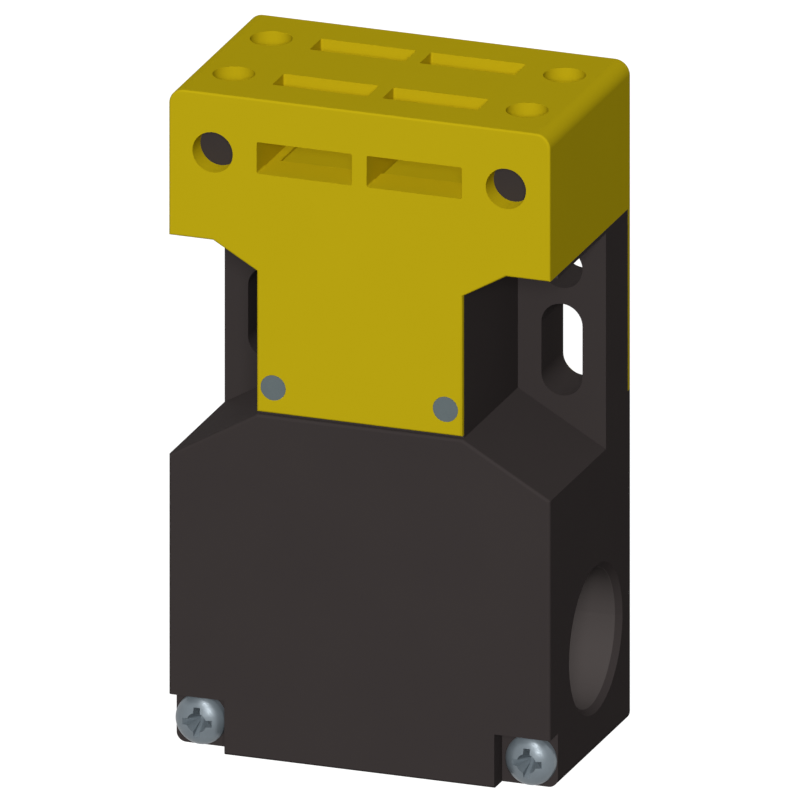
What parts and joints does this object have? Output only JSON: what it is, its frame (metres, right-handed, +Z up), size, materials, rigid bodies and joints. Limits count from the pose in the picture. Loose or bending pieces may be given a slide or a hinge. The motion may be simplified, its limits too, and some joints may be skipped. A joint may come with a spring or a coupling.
{
  "type": "tongue interlock switch",
  "caption": "Plastic tongue interlock switch for machine guards, with tongue slots in front and on top and threaded cable entries.",
  "frame": {"origin": "centre of the underside, in the middle of the width and the depth", "axes": "+Z up to the head's top, +Y towards the mounting face, +X to the right seen from the front"},
  "size_m": [0.052, 0.03, 0.09],
  "materials": {
    "black_plastic": "satin",
    "yellow_plastic": "satin",
    "drum_plastic": "satin",
    "zinc_steel": "satin",
    "grey_pin_steel": "satin",
    "spring_steel": "satin",
    "seal_rubber": "matte",
    "block_plastic": "matte",
    "carrier_plastic": "matte",
    "guide_plastic": "satin",
    "strip_brass": "satin",
    "contact_silver": "polished"
  },
  "bodies": {
    "housing": {"base_housing": "black_plastic", "front_cover": "black_plastic", "head_carrier": "black_plastic", "head_shell": "yellow_plastic", "tongue_guide": "yellow_plastic", "cover_screws": "zinc_steel", "carrier_screws": "zinc_steel", "block_screws": "zinc_steel", "terminal_screws": "zinc_steel", "terminal_clamps": "zinc_steel", "head_pins": "grey_pin_steel", "cam_axle": "zinc_steel", "cam_spacer": "zinc_steel", "spring_washer": "zinc_steel", "guide_bush": "guide_plastic", "return_spring": "spring_steel", "cover_gasket": "seal_rubber", "plunger_seal": "seal_rubber", "contact_block": "block_plastic", "contact_block_front": "block_plastic", "upper_terminals": "strip_brass", "lower_terminals": "strip_brass", "fixed_contact_tips": "contact_silver"},
    "left_cam": {"left_cam": "drum_plastic"},
    "right_cam": {"right_cam": "drum_plastic"},
    "plunger": {"plunger": "guide_plastic", "contact_carrier": "carrier_plastic", "upper_bridge": "strip_brass", "lower_bridge": "strip_brass", "bridge_tips": "contact_silver", "upper_contact_spring": "spring_steel", "lower_contact_spring": "spring_steel"}
  },
  "joints": [
    {"name": "plunger_slide", "type": "slide", "parent": "housing", "child": "plunger", "axis": [0, 0, 1], "range_m": [0, 0.004], "deforming": ["return_spring"]},
    {"name": "left_cam_turn", "type": "hinge", "parent": "housing", "child": "left_cam", "pos_m": [0, 0, 0.075], "axis": [1, 0, 0], "range_deg": [-50, 0]},
    {"name": "right_cam_turn", "type": "hinge", "parent": "housing", "child": "right_cam", "pos_m": [0, 0, 0.075], "axis": [1, 0, 0], "range_deg": [-50, 0]}
  ],
  "couplings": [
    {"joint": "left_cam_turn", "follows": "plunger_slide", "rad_per_m": -218.17},
    {"joint": "right_cam_turn", "follows": "plunger_slide", "rad_per_m": -218.17}
  ]
}
